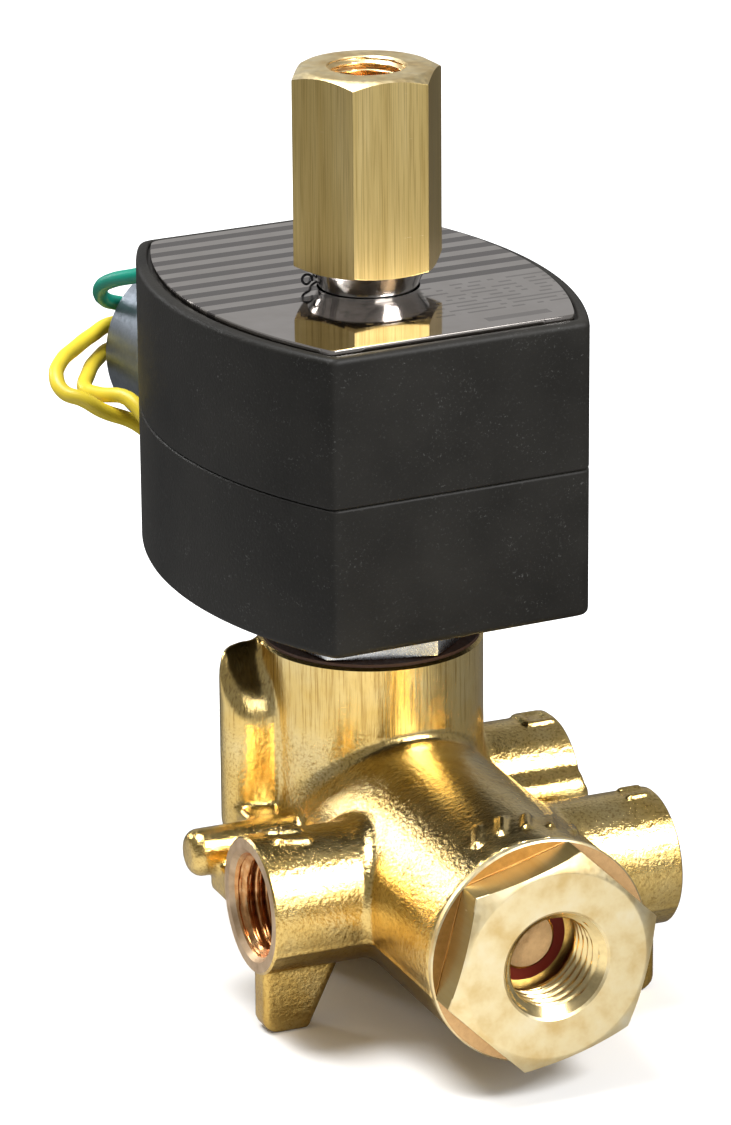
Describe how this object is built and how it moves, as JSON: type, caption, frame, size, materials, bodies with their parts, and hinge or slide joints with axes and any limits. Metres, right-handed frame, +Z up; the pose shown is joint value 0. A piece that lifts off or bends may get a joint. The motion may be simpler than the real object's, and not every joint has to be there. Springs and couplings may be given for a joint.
{
  "type": "solenoid valve",
  "caption": "Direct-mounted solenoid valve with a cast brass body, side and end pipe ports, a hex exhaust adapter on top and a swivelling coil housing with loose leads.",
  "frame": {"origin": "on the floor under the core tube's axis, on the underside of the rear foot", "axes": "+Z up the core tube, -Y out along the barrel to the end exhaust port, side ports open along -X and +X"},
  "size_m": [0.0755, 0.1469, 0.1191],
  "materials": {
    "cast_brass": "as-cast, satin and grainy, with machined port faces",
    "machined_brass": "turned and milled, pale and slightly mottled",
    "drawn_brass": "drawn bar with fine lengthwise lines",
    "seal_rubber": "black nitrile, matte",
    "disc_rubber": "dark red elastomer, matte",
    "gasket": "dark brown fibre",
    "plated_steel": "zinc plated, satin",
    "stainless_steel": "turned, satin",
    "polished_steel": "polished",
    "dark_steel": "blackened spring steel",
    "copper": "bare copper",
    "housing_epoxy": "charcoal epoxy coat, matte with fine speckle",
    "bobbin_plastic": "moulded nylon",
    "nameplate_foil": "glossy printed foil, taupe with darker stripes",
    "zinc": "blue-grey die-cast zinc, dull",
    "yellow_insulation": "yellow lead insulation, satin",
    "green_insulation": "green lead insulation, satin"
  },
  "bodies": {
    "valve": {"valve_body": "cast_brass", "end_cap": "machined_brass", "end_cap_seal": "seal_rubber", "spool_sleeve": "machined_brass", "sleeve_seals": "seal_rubber", "pilot_seat": "machined_brass", "body_gasket": "gasket", "solenoid_base": "plated_steel", "core_tube": "stainless_steel", "plugnut": "stainless_steel", "shading_ring": "copper", "retaining_clip": "dark_steel", "spacer_collar": "polished_steel", "adapter_gasket": "seal_rubber", "exhaust_adapter": "drawn_brass"},
    "core": {"core": "stainless_steel", "core_lower_disc": "disc_rubber", "core_upper_disc": "disc_rubber", "core_spring": "stainless_steel"},
    "spool": {"spool": "machined_brass", "spool_seals": "disc_rubber", "piston_cup": "seal_rubber", "exhaust_disc": "disc_rubber", "disc_nut": "machined_brass", "return_spring": "stainless_steel"},
    "housing": {"housing_base": "housing_epoxy", "housing_cover": "housing_epoxy", "yoke": "plated_steel", "coil_bobbin": "bobbin_plastic", "coil_winding": "copper", "flux_bushes": "plated_steel", "insulating_washers": "gasket", "nameplate": "nameplate_foil", "conduit_hub": "zinc", "lead_bushing": "seal_rubber", "yellow_lead_1": "yellow_insulation", "yellow_lead_1_coil": "yellow_insulation", "yellow_lead_1_end": "copper", "yellow_lead_2": "yellow_insulation", "yellow_lead_2_coil": "yellow_insulation", "yellow_lead_2_end": "copper", "green_lead": "green_insulation", "green_lead_coil": "green_insulation", "green_lead_end": "copper", "lead_tie": "seal_rubber"}
  },
  "joints": [
    {"name": "core_lift", "type": "slide", "parent": "valve", "child": "core", "axis": [0, 0, 1], "range_m": [0, 0.0016], "stiffness_N_per_m": 500, "springref_m": -0.005, "deforming": ["core_spring"]},
    {"name": "spool_shift", "type": "slide", "parent": "valve", "child": "spool", "axis": [0, -1, 0], "range_m": [0, 0.002], "stiffness_N_per_m": 400, "springref_m": -0.004, "deforming": ["return_spring"]},
    {"name": "housing_swivel", "type": "hinge", "parent": "valve", "child": "housing", "pos_m": [0, 0, 0.07], "axis": [0, 0, 1], "continuous": true}
  ],
  "couplings": [
    {"joint": "spool_shift", "follows": "core_lift", "ratio": 1.25}
  ]
}
